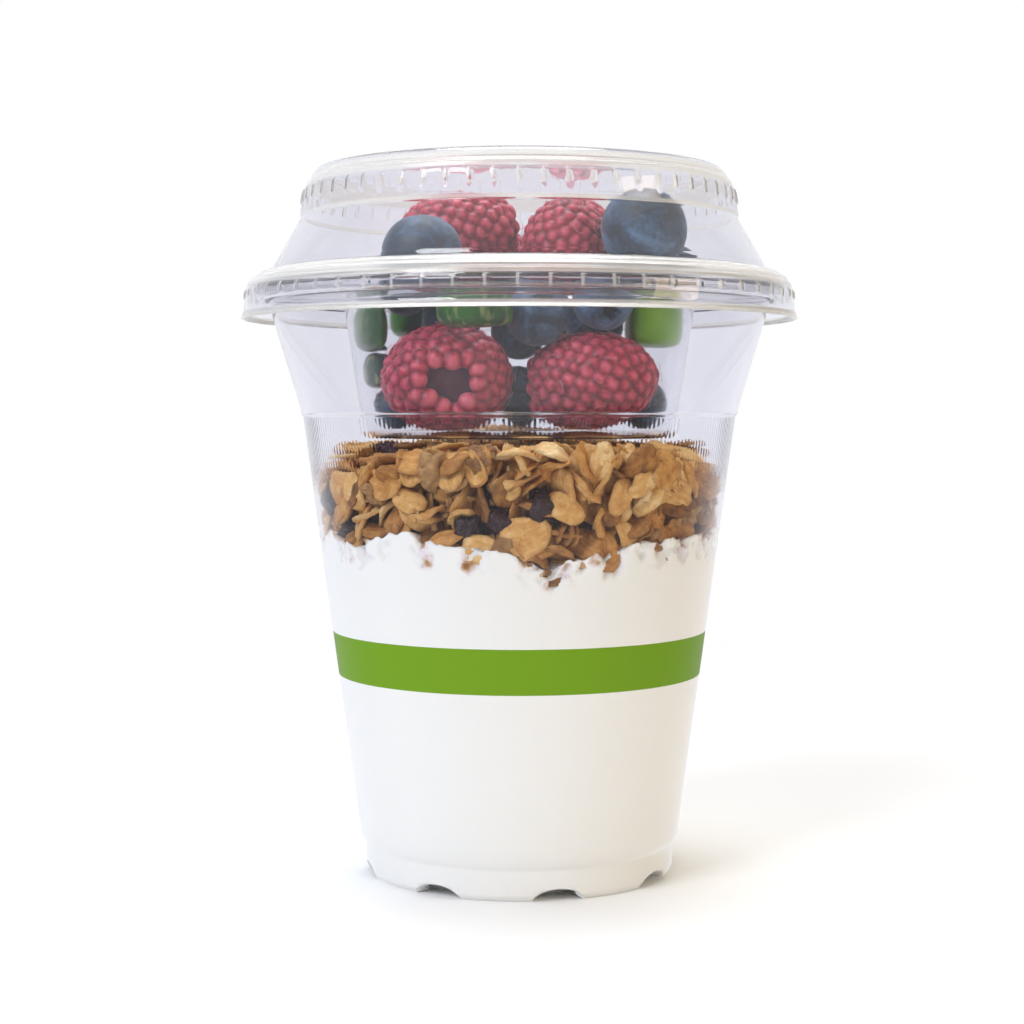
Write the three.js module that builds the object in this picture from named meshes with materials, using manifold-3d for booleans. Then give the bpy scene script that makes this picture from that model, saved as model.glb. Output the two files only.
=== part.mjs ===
// Yogurt parfait in a shut clear cup: yogurt, a layer of granola, and a tub of fruit
// that hangs from the rim under a domed lid. Millimetres, +Z up. The origin is the
// middle of the base, and the side with the two open raspberries faces -Y.
import * as THREE from 'three';
import { mergeVertices } from 'three/addons/utils/BufferGeometryUtils.js';
import Module from 'manifold-3d';

const wasm = await Module();
wasm.setup();

// All pieces of clear plastic
const sides = 36; // flats round each turned piece
const wall = 0.6;
const gap = 0.3; // left between pieces that touch

// Cup
const footRadius = 27.9;
const footHeight = 5.4;
const basePanelRadius = 23.6;
const basePanelZ = 2.6;
const shoulderRadius = 28.9;
const shoulderZ = 6.6;
const wallTaper = 0.1385; // radius gained for each mm of height
const ledgeZ = 82.4;
const ledgeDepth = 0.5;
const flareZ = 83.9;
const flareTaper = 0.306;
const flareTopZ = 102.6;
const rimRadius = 48;
const rimZ = 103;
const rimTopZ = 105.4;
const archCount = 8; // vents moulded into the foot
const archWidth = 9;
const archHeight = 2.1;
const firstArchAngle = -76;

// Tub of fruit
const tubBottomZ = 78.4;
const tubBottomRadius = 28.5;
const tubTopZ = 103;
const tubTopRadius = 32.2;
const tubHangRadius = 44.4; // where its flange steps up on to the cup's rim
const tubLipRadius = 47.7;

// Lid
const skirtZ = 99.8;
const skirtRadius = 50.6;
const coneFootZ = 109.4;
const coneFootRadius = 44.9;
const coneTopZ = 118.2;
const coneTopRadius = 40;
const lidTopZ = 127;
const lidTopRadius = 37;
const panelZ = 125.9;
const panelRadius = 34.4;

// Yogurt and granola
const yogurtZ = 61;
const granolaZ = 73.4;
const flakesRound = 15; // oat flakes in each row against the wall
const flakeRows = 4;
const flakesOnTop = 20;
const clusterCount = 10;
const leastHold = 2; // mm3 by which a flake has to be sunk in the rest
const randomSeed = 41;

const radians = THREE.MathUtils.degToRad;

const colours = {
  clearPlastic: 0xeef0f5,
  yogurt: 0xf4f2ee,
  granola: 0xb98a55,
  raspberry: 0xa83a55,
  blueberry: 0x36465f,
  kiwi: 0x6f9a2f,
};

const parfait = new THREE.Group();

// Geometry with shared corners and no empty triangles
function welded(geometry) {
  geometry.deleteAttribute('normal');
  geometry.deleteAttribute('uv');
  const merged = mergeVertices(geometry, 1e-4);
  const corners = merged.index.array;
  const kept = [];
  for (let i = 0; i < corners.length; i += 3) {
    const [a, b, c] = corners.slice(i, i + 3);
    if (a !== b && b !== c && c !== a) {
      kept.push(a, b, c);
    }
  }
  merged.setIndex(kept);
  return merged;
}

function solidOf(geometry) {
  const merged = welded(geometry);
  const vertProperties = Float32Array.from(merged.attributes.position.array);
  const triVerts = Uint32Array.from(merged.index.array);
  return new wasm.Manifold(new wasm.Mesh({ numProp: 3, vertProperties, triVerts }));
}

function geometryOf(solid) {
  const mesh = solid.getMesh();
  const geometry = new THREE.BufferGeometry();
  geometry.setAttribute('position', new THREE.BufferAttribute(mesh.vertProperties, 3));
  geometry.setIndex(new THREE.BufferAttribute(mesh.triVerts, 1));
  return geometry;
}

// A profile of [radius, height] points turned about Z: it runs up the outside and down
// the inside, and closes on itself or on the axis
function turned(profile, flats = sides) {
  const points = profile.map(([radius, z]) => new THREE.Vector2(radius, z));
  return new THREE.LatheGeometry(points, flats).rotateX(Math.PI / 2);
}

function closed(profile) {
  return [...profile, profile[0]];
}

function addMesh(name, geometry, material) {
  const mesh = new THREE.Mesh(geometry, material);
  mesh.name = name;
  parfait.add(mesh);
  return mesh;
}

function clearPlastic() {
  return new THREE.MeshStandardMaterial({
    color: colours.clearPlastic,
    roughness: 0.08,
    metalness: 0,
    transparent: true,
    opacity: 0.3,
  });
}

// Angle round the cup, from +X towards +Y
function angleAt(x, y) {
  return Math.atan2(y, x);
}

function cupRadius(z) {
  if (z < ledgeZ) {
    return shoulderRadius + wallTaper * (z - shoulderZ);
  }
  return cupRadius(ledgeZ - 0.01) + ledgeDepth + flareTaper * (z - flareZ);
}

// Radius left free inside the cup's flats at a height
function cupRoom(z) {
  return (cupRadius(z) - wall) * Math.cos(Math.PI / sides) - gap;
}

// Half-round bar that lies along a radius of the foot, grown on all sides by a margin
function archBar(index, margin) {
  const half = archWidth / 2 + margin;
  const top = archHeight + margin;
  const outline = new THREE.Shape();
  outline.absellipse(0, 0, half, top, 0, Math.PI);
  outline.lineTo(-half, -1);
  outline.lineTo(half, -1);
  outline.closePath();
  const bar = new THREE.ExtrudeGeometry(outline, {
    depth: 10,
    bevelEnabled: false,
    curveSegments: 2,
  });
  bar.translate(0, 0, basePanelRadius - 0.4);
  bar.rotateX(Math.PI / 2);
  bar.rotateZ(radians(90 + firstArchAngle + (360 / archCount) * index));
  return solidOf(bar);
}

function buildCup() {
  const inner = (z) => cupRadius(z) - wall;
  const shell = solidOf(turned([
    [0, basePanelZ],
    [basePanelRadius, basePanelZ],
    [basePanelRadius + 0.8, 0],
    [footRadius - 0.8, 0],
    [footRadius, 0.9],
    [footRadius, footHeight],
    [shoulderRadius, shoulderZ],
    [cupRadius(ledgeZ - 0.01), ledgeZ],
    [cupRadius(flareZ), ledgeZ + 0.4],
    [cupRadius(flareZ), flareZ],
    [cupRadius(flareTopZ), flareTopZ],
    [rimRadius - 0.4, rimZ],
    [rimRadius, rimZ + 0.5],
    [rimRadius, rimTopZ - 0.5],
    [rimRadius - 0.5, rimTopZ],
    [cupRadius(flareTopZ) + 0.3, rimTopZ],
    [cupRadius(flareTopZ) - wall, rimTopZ - 0.8],
    [inner(flareTopZ), flareTopZ],
    [inner(flareZ), flareZ],
    [inner(ledgeZ - 0.01), ledgeZ],
    [shoulderRadius - wall, shoulderZ + 0.2],
    [footRadius - wall, footHeight],
    [footRadius - wall, 1.1],
    [footRadius - 1.1, wall],
    [basePanelRadius + 1.2, wall],
    [basePanelRadius + 0.5, basePanelZ + wall],
    [0, basePanelZ + wall],
  ]));
  const foot = solidOf(turned([
    [0, 0],
    [footRadius - 0.8, 0],
    [footRadius, 0.9],
    [footRadius, footHeight - 0.5],
    [0, footHeight - 0.5],
  ]));
  let cup = shell;
  for (let i = 0; i < archCount; i += 1) {
    cup = cup.add(archBar(i, wall).intersect(foot));
  }
  for (let i = 0; i < archCount; i += 1) {
    cup = cup.subtract(archBar(i, 0));
  }
  addMesh('cup', geometryOf(cup), clearPlastic());
}

function buildTub() {
  const heel = 1.2;
  addMesh('insert', welded(turned([
    [0, tubBottomZ],
    [tubBottomRadius - heel, tubBottomZ],
    [tubBottomRadius, tubBottomZ + heel],
    [tubTopRadius, tubTopZ],
    [tubHangRadius, tubTopZ],
    [tubHangRadius + 0.3, rimTopZ + gap],
    [tubLipRadius, rimTopZ + gap],
    [tubLipRadius, rimTopZ + gap + wall],
    [tubHangRadius - 0.4, rimTopZ + gap + wall],
    [tubHangRadius - 0.7, tubTopZ + wall],
    [tubTopRadius - wall, tubTopZ + wall],
    [tubBottomRadius - wall, tubBottomZ + heel + 0.1],
    [tubBottomRadius - heel - 0.3, tubBottomZ + wall],
    [0, tubBottomZ + wall],
  ])), clearPlastic());
}

function buildLid() {
  addMesh('lid', welded(turned(closed([
    [skirtRadius - wall, skirtZ],
    [skirtRadius, skirtZ],
    [50, 104],
    [49.5, 106.2],
    [48.6, 107.3],
    [47.2, 108.2],
    [coneFootRadius, 108.6],
    [coneFootRadius - 0.2, coneFootZ],
    [coneTopRadius - 0.2, coneTopZ],
    [coneTopRadius, coneTopZ + 0.6],
    [39.6, 121.6],
    [39.2, 123.8],
    [38, 125.7],
    [lidTopRadius, lidTopZ],
    [lidTopRadius - 1.4, lidTopZ],
    [panelRadius, panelZ],
    [0, panelZ],
    [0, panelZ - wall],
    [panelRadius + 0.2, panelZ - wall],
    [lidTopRadius - 1, lidTopZ - wall],
    [38.6, 123.6],
    [39, 121.6],
    [39.3, coneTopZ + 0.4],
    [coneTopRadius - 0.9, coneTopZ],
    [coneFootRadius - 0.9, coneFootZ],
    [coneFootRadius - 0.8, 108],
    [47, 107.6],
    [48.4, 106.3],
    [49.3, 104],
  ]))), clearPlastic());
}

// Height of the yogurt's top at an angle round the cup: it dips at the front
function yogurtTop(angle) {
  const broad = 1.6 * Math.sin(2 * angle + radians(70));
  return yogurtZ + broad + 1.1 * Math.sin(5 * angle - radians(50));
}

// Height of the packed granola at an angle and radius: it is heaped at the front and the
// back, and kept under the tub in the middle
function granolaTop(angle, radius) {
  const heaped = 2.6 * Math.cos(2 * (angle + radians(84))) + 0.6 * Math.sin(5 * angle);
  return granolaZ + heaped * (radius / cupRoom(granolaZ));
}

function buildYogurt() {
  const room = wall + gap;
  const side = (z) => cupRadius(z) - room;
  const blank = turned([
    [0, basePanelZ + room],
    [basePanelRadius + 1, basePanelZ + room],
    [basePanelRadius + 1.7, room],
    [footRadius - 1.3, room],
    [footRadius - room, 1.4],
    [footRadius - room, footHeight],
    [shoulderRadius - room, shoulderZ + 0.3],
    [side(yogurtZ - 4), yogurtZ - 4],
    [side(yogurtZ), yogurtZ],
    [side(yogurtZ) * 0.6, yogurtZ],
    [0, yogurtZ],
  ]);
  const position = blank.attributes.position;
  for (let i = 0; i < position.count; i += 1) {
    if (position.getZ(i) > yogurtZ - 1) {
      const x = position.getX(i);
      const y = position.getY(i);
      const edge = Math.hypot(x, y) / side(yogurtZ);
      const z = yogurtZ + (yogurtTop(angleAt(x, y)) - yogurtZ) * edge;
      const inward = side(z) / side(yogurtZ);
      position.setXYZ(i, x * inward, y * inward, z);
    }
  }
  let yogurt = solidOf(blank);
  for (let i = 0; i < archCount; i += 1) {
    yogurt = yogurt.subtract(archBar(i, room));
  }
  addMesh('yogurt', geometryOf(yogurt), new THREE.MeshStandardMaterial({
    color: colours.yogurt,
    roughness: 0.35,
    metalness: 0,
  }));
}

// Small repeatable source of numbers from 0 to 1
function randomSource(seed) {
  let state = seed;
  return () => {
    state = (state * 1664525 + 1013904223) % 4294967296;
    return state / 4294967296;
  };
}

// Oat flake: an oval lens with a ragged edge
function flakeGeometry(length, width, thickness, random) {
  const rimPoints = 6;
  const flake = turned([
    [0, -thickness / 2],
    [0.5, 0],
    [0, thickness / 2],
  ], rimPoints);
  flake.scale(length, width, 1);
  const position = flake.attributes.position;
  const wobble = Array.from({ length: rimPoints }, () => 0.85 + 0.3 * random());
  for (let i = 0; i < position.count; i += 1) {
    const step = Math.floor(i / 3) % rimPoints;
    const factor = wobble[step];
    position.setXYZ(i, position.getX(i) * factor, position.getY(i) * factor, position.getZ(i));
  }
  return flake;
}

// Slides a piece along its own radius until it just clears the cup's wall, and lifts or
// lowers it between two heights
function fitInCup(geometry, angle, lowest, highest) {
  geometry.computeBoundingBox();
  const { min, max } = geometry.boundingBox;
  const lift = Math.max(0, lowest - min.z) - Math.max(0, max.z - highest);
  geometry.translate(0, 0, lift);
  const out = new THREE.Vector2(Math.cos(angle), Math.sin(angle));
  const position = geometry.attributes.position;
  for (let pass = 0; pass < 3; pass += 1) {
    let slack = Infinity;
    for (let i = 0; i < position.count; i += 1) {
      const radius = Math.hypot(position.getX(i), position.getY(i));
      slack = Math.min(slack, cupRoom(position.getZ(i)) - radius);
    }
    geometry.translate(out.x * slack, out.y * slack, 0);
  }
  return geometry;
}

function buildGranola() {
  const random = randomSource(randomSeed);
  const coreRadius = (z) => cupRoom(z) - 1.6;
  const blank = turned([
    [0, yogurtZ],
    [coreRadius(yogurtZ) * 0.6, yogurtZ],
    [coreRadius(yogurtZ), yogurtZ],
    [coreRadius(granolaZ), granolaZ],
    [coreRadius(granolaZ) * 0.7, granolaZ],
    [0, granolaZ],
  ]);
  const position = blank.attributes.position;
  for (let i = 0; i < position.count; i += 1) {
    const angle = angleAt(position.getX(i), position.getY(i));
    const radius = Math.hypot(position.getX(i), position.getY(i));
    const edge = Math.min(1, radius / (cupRadius(yogurtZ) - wall - gap));
    const low = yogurtZ + (yogurtTop(angle) - yogurtZ) * edge + gap;
    const high = granolaTop(angle, radius) - 1.2;
    position.setZ(i, position.getZ(i) > yogurtZ + 1 ? high : low);
  }
  let granola = solidOf(blank);
  const fuse = (piece) => {
    const solid = solidOf(piece);
    if (granola.intersect(solid).volume() > leastHold) {
      granola = granola.add(solid);
    }
  };
  const place = (piece, angle, radius, z) => {
    piece.translate(radius * Math.cos(angle), radius * Math.sin(angle), z);
    return piece;
  };
  const spread = (size) => size * (random() - 0.5);

  // Rows of flakes against the wall, most of them with a face or an edge to it
  for (let row = 0; row < flakeRows; row += 1) {
    for (let i = 0; i < flakesRound; i += 1) {
      const angle = ((i + 0.5 * (row % 2) + spread(0.6)) / flakesRound) * 2 * Math.PI;
      const low = yogurtTop(angle) + 1.2;
      const high = granolaTop(angle, cupRoom(granolaZ)) + 2.2;
      const z = low + 2 + ((high - low - 3) * row) / (flakeRows - 1) + spread(1.5);
      const length = 7.6 + 3 * random();
      const piece = flakeGeometry(length, length * (0.62 + 0.16 * random()), 1.7, random);
      piece.rotateZ(2 * Math.PI * random());
      piece.rotateY(Math.PI / 2 + spread(1.9));
      piece.rotateX(spread(1.2));
      piece.rotateZ(angle);
      place(piece, angle, 34, z);
      fuse(fitInCup(piece, angle, low, high));
    }
  }

  // Knobbly clusters among them
  for (let i = 0; i < clusterCount; i += 1) {
    const angle = ((i + spread(0.7)) / clusterCount) * 2 * Math.PI;
    const piece = new THREE.IcosahedronGeometry(3.1 + random(), 0);
    piece.scale(1, 0.8 + 0.3 * random(), 0.8 + 0.3 * random());
    piece.rotateX(3 * random());
    const low = yogurtTop(angle) + 1.2;
    place(piece, angle, 32, low + 4 + 6 * random());
    fuse(fitInCup(piece, angle, low, granolaTop(angle, 33) + 2.4));
  }

  // Flakes that lie on top, flatter than those at the wall
  for (let i = 0; i < flakesOnTop; i += 1) {
    const angle = i * 2.4;
    const radius = 30 * Math.sqrt((i + 2) / (flakesOnTop + 1));
    const length = 7.4 + 2.6 * random();
    const piece = flakeGeometry(length, length * 0.7, 1.7, random);
    piece.rotateX(spread(1));
    piece.rotateY(spread(1));
    piece.rotateZ(2 * Math.PI * random());
    fuse(place(piece, angle, radius, granolaTop(angle, radius) - 0.6));
  }

  addMesh('granola', geometryOf(granola), new THREE.MeshStandardMaterial({
    color: colours.granola,
    roughness: 0.8,
    metalness: 0,
    flatShading: true,
  }));
}

// Raspberry with its tip towards +Z: rows of drupelets round a hollow core
function raspberryGeometry({ width, height, length }) {
  const columns = 14;
  const rows = 7;
  const openAngle = radians(-60);
  const relief = 0.05;
  const profile = [
    [0, -length * 0.12],
    [width * 0.15, -length * 0.3],
    [width * 0.21, -length * 0.46],
  ];
  const hollowRows = profile.length;
  const sunk = Math.sin(openAngle);
  for (let row = 0; row <= rows; row += 1) {
    const turn = openAngle + (Math.PI / 2 - openAngle) * (row / rows);
    const along = (Math.sin(turn) - sunk) / (1 - sunk);
    profile.push([(width / 2) * Math.cos(turn) ** 0.85, length * (along - 0.5)]);
  }
  profile[profile.length - 1][0] = 0;
  const berry = turned(profile, columns);
  const position = berry.attributes.position;
  for (let i = 0; i < position.count; i += 1) {
    const row = i % profile.length;
    const column = Math.floor(i / profile.length);
    const bulge = (row + column) % 2 ? relief : -relief;
    const factor = row > hollowRows ? 1 + bulge : 1;
    position.setX(i, position.getX(i) * factor);
    position.setY(i, position.getY(i) * factor * (height / width));
  }
  return berry;
}

// Blueberry with its star-shaped crown towards +Z
function blueberryGeometry({ width }) {
  const columns = 10;
  const radius = width / 2;
  const squat = 0.9;
  const profile = [[0, -radius * squat]];
  for (const degrees of [-50, -12, 26, 60]) {
    const turn = radians(degrees);
    profile.push([radius * Math.cos(turn), radius * squat * Math.sin(turn)]);
  }
  profile.push([radius * 0.3, radius * squat], [0, radius * 0.7]);
  const crown = profile.length - 2;
  const berry = turned(profile, columns);
  const position = berry.attributes.position;
  for (let i = 0; i < position.count; i += 1) {
    const column = Math.floor(i / profile.length);
    const factor = i % profile.length === crown && column % 2 ? 0.75 : 1;
    position.setX(i, position.getX(i) * factor);
    position.setY(i, position.getY(i) * factor);
  }
  return berry;
}

// Half-moon slice of kiwi that lies flat, its round side towards +X
function kiwiGeometry({ width, height: span, length: thickness }) {
  const bevel = 0.9;
  const outline = new THREE.Shape();
  const reach = width / 2 - bevel;
  outline.absellipse(-reach, 0, 2 * reach, span / 2 - bevel, -Math.PI / 2, Math.PI / 2);
  outline.closePath();
  const slice = new THREE.ExtrudeGeometry(outline, {
    depth: thickness - 2 * bevel,
    bevelThickness: bevel,
    bevelSize: bevel,
    bevelSegments: 1,
    curveSegments: 5,
  });
  return slice;
}

const fruitKinds = {
  raspberry: { shape: raspberryGeometry, roughness: 0.45 },
  blueberry: { shape: blueberryGeometry, roughness: 0.6 },
  kiwi: { shape: kiwiGeometry, roughness: 0.3 },
};

// The fruit from the bottom of the tub up. Each has its width, height and length, the
// place of its middle, and how it is turned about X, Y and Z in degrees.
const fruit = [
  { kind: 'raspberry', size: [23.2, 18.6, 20], at: [-12.8, -11.2, 89.2], turn: [-82, 0, 6] },
  { kind: 'raspberry', size: [17.4, 19.2, 23.8], at: [13, -11.4, 88.7], turn: [0, 84, -6] },
  { kind: 'raspberry', size: [20.4, 18.2, 20.2], at: [12.4, 12, 89.3], turn: [70, 10, 30] },
  { kind: 'raspberry', size: [20, 18, 20], at: [-12, 12.1, 89.2], turn: [-65, 0, 150] },
  { kind: 'blueberry', size: [11], at: [-0.4, 0.8, 86.6], turn: [30, 20, 0] },
  { kind: 'blueberry', size: [9.6], at: [22.8, 0.3, 84.6], turn: [80, 0, 40] },
  { kind: 'blueberry', size: [9], at: [-22.6, 0.2, 84.2], turn: [70, 0, -60] },
  { kind: 'blueberry', size: [9.6], at: [0.4, 22, 84.6], turn: [-60, 0, 0] },
  { kind: 'kiwi', size: [10, 21, 7.8], at: [25, -0.2, 99.1], turn: [0, 3, 0] },
  { kind: 'kiwi', size: [5.8, 20, 7.8], at: [-27.2, -3, 98.2], turn: [0, 2, 186] },
  { kind: 'kiwi', size: [4.6, 11, 6], at: [-26.4, -0.5, 90.7], turn: [0, 0, 181] },
  { kind: 'kiwi', size: [8, 13, 6.2], at: [-8.4, -22.4, 101], turn: [0, 0, -106] },
  { kind: 'kiwi', size: [9, 22, 7], at: [7.4, 24, 100], turn: [0, 5, 72] },
  { kind: 'kiwi', size: [8.6, 18, 6.2], at: [-18.8, 17.8, 100.4], turn: [0, 5, 136] },
  { kind: 'blueberry', size: [12.4], at: [3.2, -14.6, 100.6], turn: [60, 20, 0] },
  { kind: 'blueberry', size: [12], at: [14.8, -15.6, 103.1], turn: [120, 0, 10] },
  { kind: 'blueberry', size: [11], at: [-0.2, 1.4, 97.8], turn: [0, 40, 0] },
  { kind: 'blueberry', size: [11.8], at: [13.8, 0, 99.4], turn: [20, 40, 0] },
  { kind: 'blueberry', size: [12], at: [-12.6, 0.4, 100], turn: [10, -50, 0] },
  { kind: 'blueberry', size: [10], at: [-20.8, -5.2, 105.2], turn: [50, -70, 0] },
  { kind: 'blueberry', size: [10.2], at: [0.2, 9.4, 104.3], turn: [0, 0, 0] },
  { kind: 'blueberry', size: [11.2], at: [28, -3.4, 108.4], turn: [-30, 50, 0] },
  { kind: 'blueberry', size: [13.2], at: [-21.2, 14.8, 109.8], turn: [-50, -20, 0] },
  { kind: 'blueberry', size: [10.4], at: [21, 23, 109.4], turn: [-70, 30, 0] },
  { kind: 'blueberry', size: [15.8], at: [-17, -16, 110.4], turn: [-30, 20, 0] },
  { kind: 'blueberry', size: [16.4], at: [21.8, -15, 114.8], turn: [30, -160, 0] },
  { kind: 'raspberry', size: [17, 19.4, 23.4], at: [-11.6, 1.2, 115.2], turn: [0, -96, 8] },
  { kind: 'raspberry', size: [16.2, 16, 17.6], at: [8.5, -5.8, 113.2], turn: [25, 0, 0] },
  { kind: 'raspberry', size: [17, 16.6, 18.4], at: [10.2, 13, 115.2], turn: [-20, 40, 0] },
  { kind: 'raspberry', size: [18, 17, 19], at: [-7, 22.2, 112], turn: [-70, 0, 20] },
];

function buildFruit() {
  const counts = {};
  for (const { kind, size, at, turn } of fruit) {
    const { shape, roughness } = fruitKinds[kind];
    const [width, height, length] = size;
    const geometry = welded(shape({ width, height, length }));
    geometry.center();
    counts[kind] = (counts[kind] ?? 0) + 1;
    const mesh = addMesh(`${kind}_${counts[kind]}`, geometry, new THREE.MeshStandardMaterial({
      color: colours[kind],
      roughness,
      metalness: 0,
    }));
    mesh.position.set(...at);
    mesh.rotation.set(...turn.map(radians), 'ZYX');
  }
}

buildCup();
buildTub();
buildLid();
buildYogurt();
buildGranola();
buildFruit();

export default parfait;
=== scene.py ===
import random
from math import acos, atan2, copysign, cos, exp, hypot, pi, radians, sin, sqrt

import bpy
import numpy as np
from mathutils import Euler, Matrix, Vector, noise
from mathutils.kdtree import KDTree


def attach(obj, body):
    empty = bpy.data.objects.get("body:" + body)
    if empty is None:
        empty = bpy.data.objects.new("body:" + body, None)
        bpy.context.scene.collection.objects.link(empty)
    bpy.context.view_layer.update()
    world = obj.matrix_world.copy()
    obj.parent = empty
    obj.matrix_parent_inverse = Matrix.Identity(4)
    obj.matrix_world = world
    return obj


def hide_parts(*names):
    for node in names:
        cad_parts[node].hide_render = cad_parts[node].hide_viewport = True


# Yogurt parfait: the looks. Lengths in the settings are millimetres, +Z is up and the
# front faces -Y, as in the frame.
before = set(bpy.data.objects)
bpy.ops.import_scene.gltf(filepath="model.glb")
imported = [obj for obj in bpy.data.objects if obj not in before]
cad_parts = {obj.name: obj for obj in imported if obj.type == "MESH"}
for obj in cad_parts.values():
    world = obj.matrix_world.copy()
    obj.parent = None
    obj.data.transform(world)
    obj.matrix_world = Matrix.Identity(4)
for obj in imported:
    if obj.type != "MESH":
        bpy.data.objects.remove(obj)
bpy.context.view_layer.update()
mm = 0.001
print("frame loaded:", len(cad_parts), "nodes")


def linear(hexColour):
    # sRGB hex to the linear colour that shaders take
    channels = []
    for start in (0, 2, 4):
        value = int(hexColour[start:start + 2], 16) / 255
        channels.append(value / 12.92 if value <= 0.04045 else ((value + 0.055) / 1.055) ** 2.4)
    return (*channels, 1.0)


def addNode(material, kind, inputs=None, **settings):
    # a node with its settings; an input is a plain value or the socket that feeds it
    made = material.node_tree.nodes.new(kind)
    for name, value in settings.items():
        setattr(made, name, value)
    for name, value in (inputs or {}).items():
        if isinstance(value, bpy.types.NodeSocket):
            material.node_tree.links.new(value, made.inputs[name])
        else:
            made.inputs[name].default_value = value
    return made


def surface(material):
    return material.node_tree.nodes["Principled BSDF"]


def newMaterial(name, **inputs):
    # an underscore stands for the space in an input's name
    material = bpy.data.materials.new(name)
    material.use_nodes = True
    for key, value in inputs.items():
        surface(material).inputs[key.replace("_", " ")].default_value = value
    return material


def feed(material, name, socket):
    material.node_tree.links.new(socket, surface(material).inputs[name])


def placeOn(material):
    return addNode(material, "ShaderNodeTexCoord").outputs["Object"]


def laid(material, name):
    # values that a builder has laid on the points of a piece
    return addNode(material, "ShaderNodeAttribute", attribute_name=name).outputs["Fac"]


def stretched(material, vector, scale):
    mapping = addNode(material, "ShaderNodeMapping", {"Vector": vector, "Scale": scale})
    return mapping.outputs["Vector"]


def mottle(material, place, scale, detail, roughness=0.5, distortion=0.0, output="Fac"):
    return addNode(material, "ShaderNodeTexNoise", {
        "Vector": place, "Scale": scale, "Detail": detail, "Roughness": roughness,
        "Distortion": distortion}).outputs[output]


def reckon(material, operation, *values):
    return addNode(material, "ShaderNodeMath", dict(enumerate(values)),
                   operation=operation).outputs["Value"]


def ranged(material, value, low, high, toLow=0.0, toHigh=1.0, steps="LINEAR"):
    return addNode(material, "ShaderNodeMapRange", {
        "Value": value, "From Min": low, "From Max": high, "To Min": toLow, "To Max": toHigh},
        interpolation_type=steps).outputs["Result"]


def mixed(material, factor, under, over):
    # from one colour to another, each a socket or a hex
    under, over = [linear(c) if isinstance(c, str) else c for c in (under, over)]
    return addNode(material, "ShaderNodeMix", {"Factor": factor, "A": under, "B": over},
                   data_type="RGBA").outputs["Result"]


def colourSteps(material, factor, *steps):
    # colour ramp from (position, hex) pairs
    ramp = addNode(material, "ShaderNodeValToRGB", {"Fac": factor})
    elements = ramp.color_ramp.elements
    while len(elements) < len(steps):
        elements.new(0.5)
    for element, (position, hexColour) in zip(elements, steps):
        element.position = position
        element.color = linear(hexColour)
    return ramp.outputs["Color"]


def relief(material, height, strength, distance):
    bump = addNode(material, "ShaderNodeBump", {
        "Height": height, "Strength": strength, "Distance": distance * mm})
    feed(material, "Normal", bump.outputs["Normal"])


def pick(piece):
    bpy.ops.object.select_all(action="DESELECT")
    piece.select_set(True)
    bpy.context.view_layer.objects.active = piece


def editAll(piece):
    pick(piece)
    bpy.ops.object.mode_set(mode="EDIT")
    bpy.ops.mesh.select_all(action="SELECT")


def applied(piece, kind, **settings):
    # a modifier on the active piece, applied at once
    modifier = piece.modifiers.new("shaping", kind)
    for name, value in settings.items():
        setattr(modifier, name, value)
    bpy.ops.object.modifier_apply(modifier="shaping")


def oneSkin(piece, voxel, softened):
    # even small faces all over, then smoothed
    piece.data.remesh_voxel_size = voxel * mm
    bpy.ops.object.voxel_remesh()
    applied(piece, "SMOOTH", factor=0.5, iterations=softened)


def layOn(piece, label, values):
    # one value for each point, for its material to read
    spread = piece.data.attributes.new(label, "FLOAT", "POINT")
    spread.data.foreach_set("value", np.asarray(values, dtype=np.float32))


def finish(piece, name, slot, material, *nodes):
    # place applied, named, dressed, and handed to the frame
    pick(piece)
    bpy.ops.object.transform_apply(location=True, rotation=True, scale=True)
    piece.name = name
    piece.data.materials.clear()
    piece.data.materials.append(material)
    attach(piece, "root")
    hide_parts(*nodes)
    return piece


def rounded(points, radius, steps):
    # a polyline with its corners turned into short arcs
    out = [Vector(points[0])]
    for before, corner, after in zip(points, points[1:], points[2:]):
        corner = Vector(corner)
        toBefore = Vector(before) - corner
        toAfter = Vector(after) - corner
        reach = min(radius, 0.45 * toBefore.length, 0.45 * toAfter.length)
        start = corner + toBefore.normalized() * reach
        end = corner + toAfter.normalized() * reach
        for step in range(steps + 1):
            t = step / steps
            out.append(start * (1 - t) ** 2 + corner * 2 * t * (1 - t) + end * t ** 2)
    out.append(Vector(points[-1]))
    return out


def sheetOutline(centreLine, thickness):
    # both faces of a formed sheet, as one outline from its middle line
    faces = []
    for side in (1, -1):
        face = []
        for i, point in enumerate(centreLine):
            along = centreLine[min(i + 1, len(centreLine) - 1)] - centreLine[max(i - 1, 0)]
            across = Vector((along.y, -along.x)).normalized() * side * thickness / 2
            face.append(point + across)
        faces.append(face)
    return faces[0] + faces[1][::-1]


def openAtAxis(piece):
    # drops the edge that closes an outline along Z
    points = piece.data.vertices
    for items in (points, piece.data.edges, piece.data.polygons):
        items.foreach_set("select", [False] * len(items))
    for edge in piece.data.edges:
        edge.select = all(points[v].co.x < 1e-7 for v in edge.vertices)
    bpy.context.tool_settings.mesh_select_mode = (False, True, False)
    bpy.ops.object.mode_set(mode="EDIT")
    bpy.ops.mesh.delete(type="EDGE_FACE")
    bpy.ops.object.mode_set(mode="OBJECT")


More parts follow.
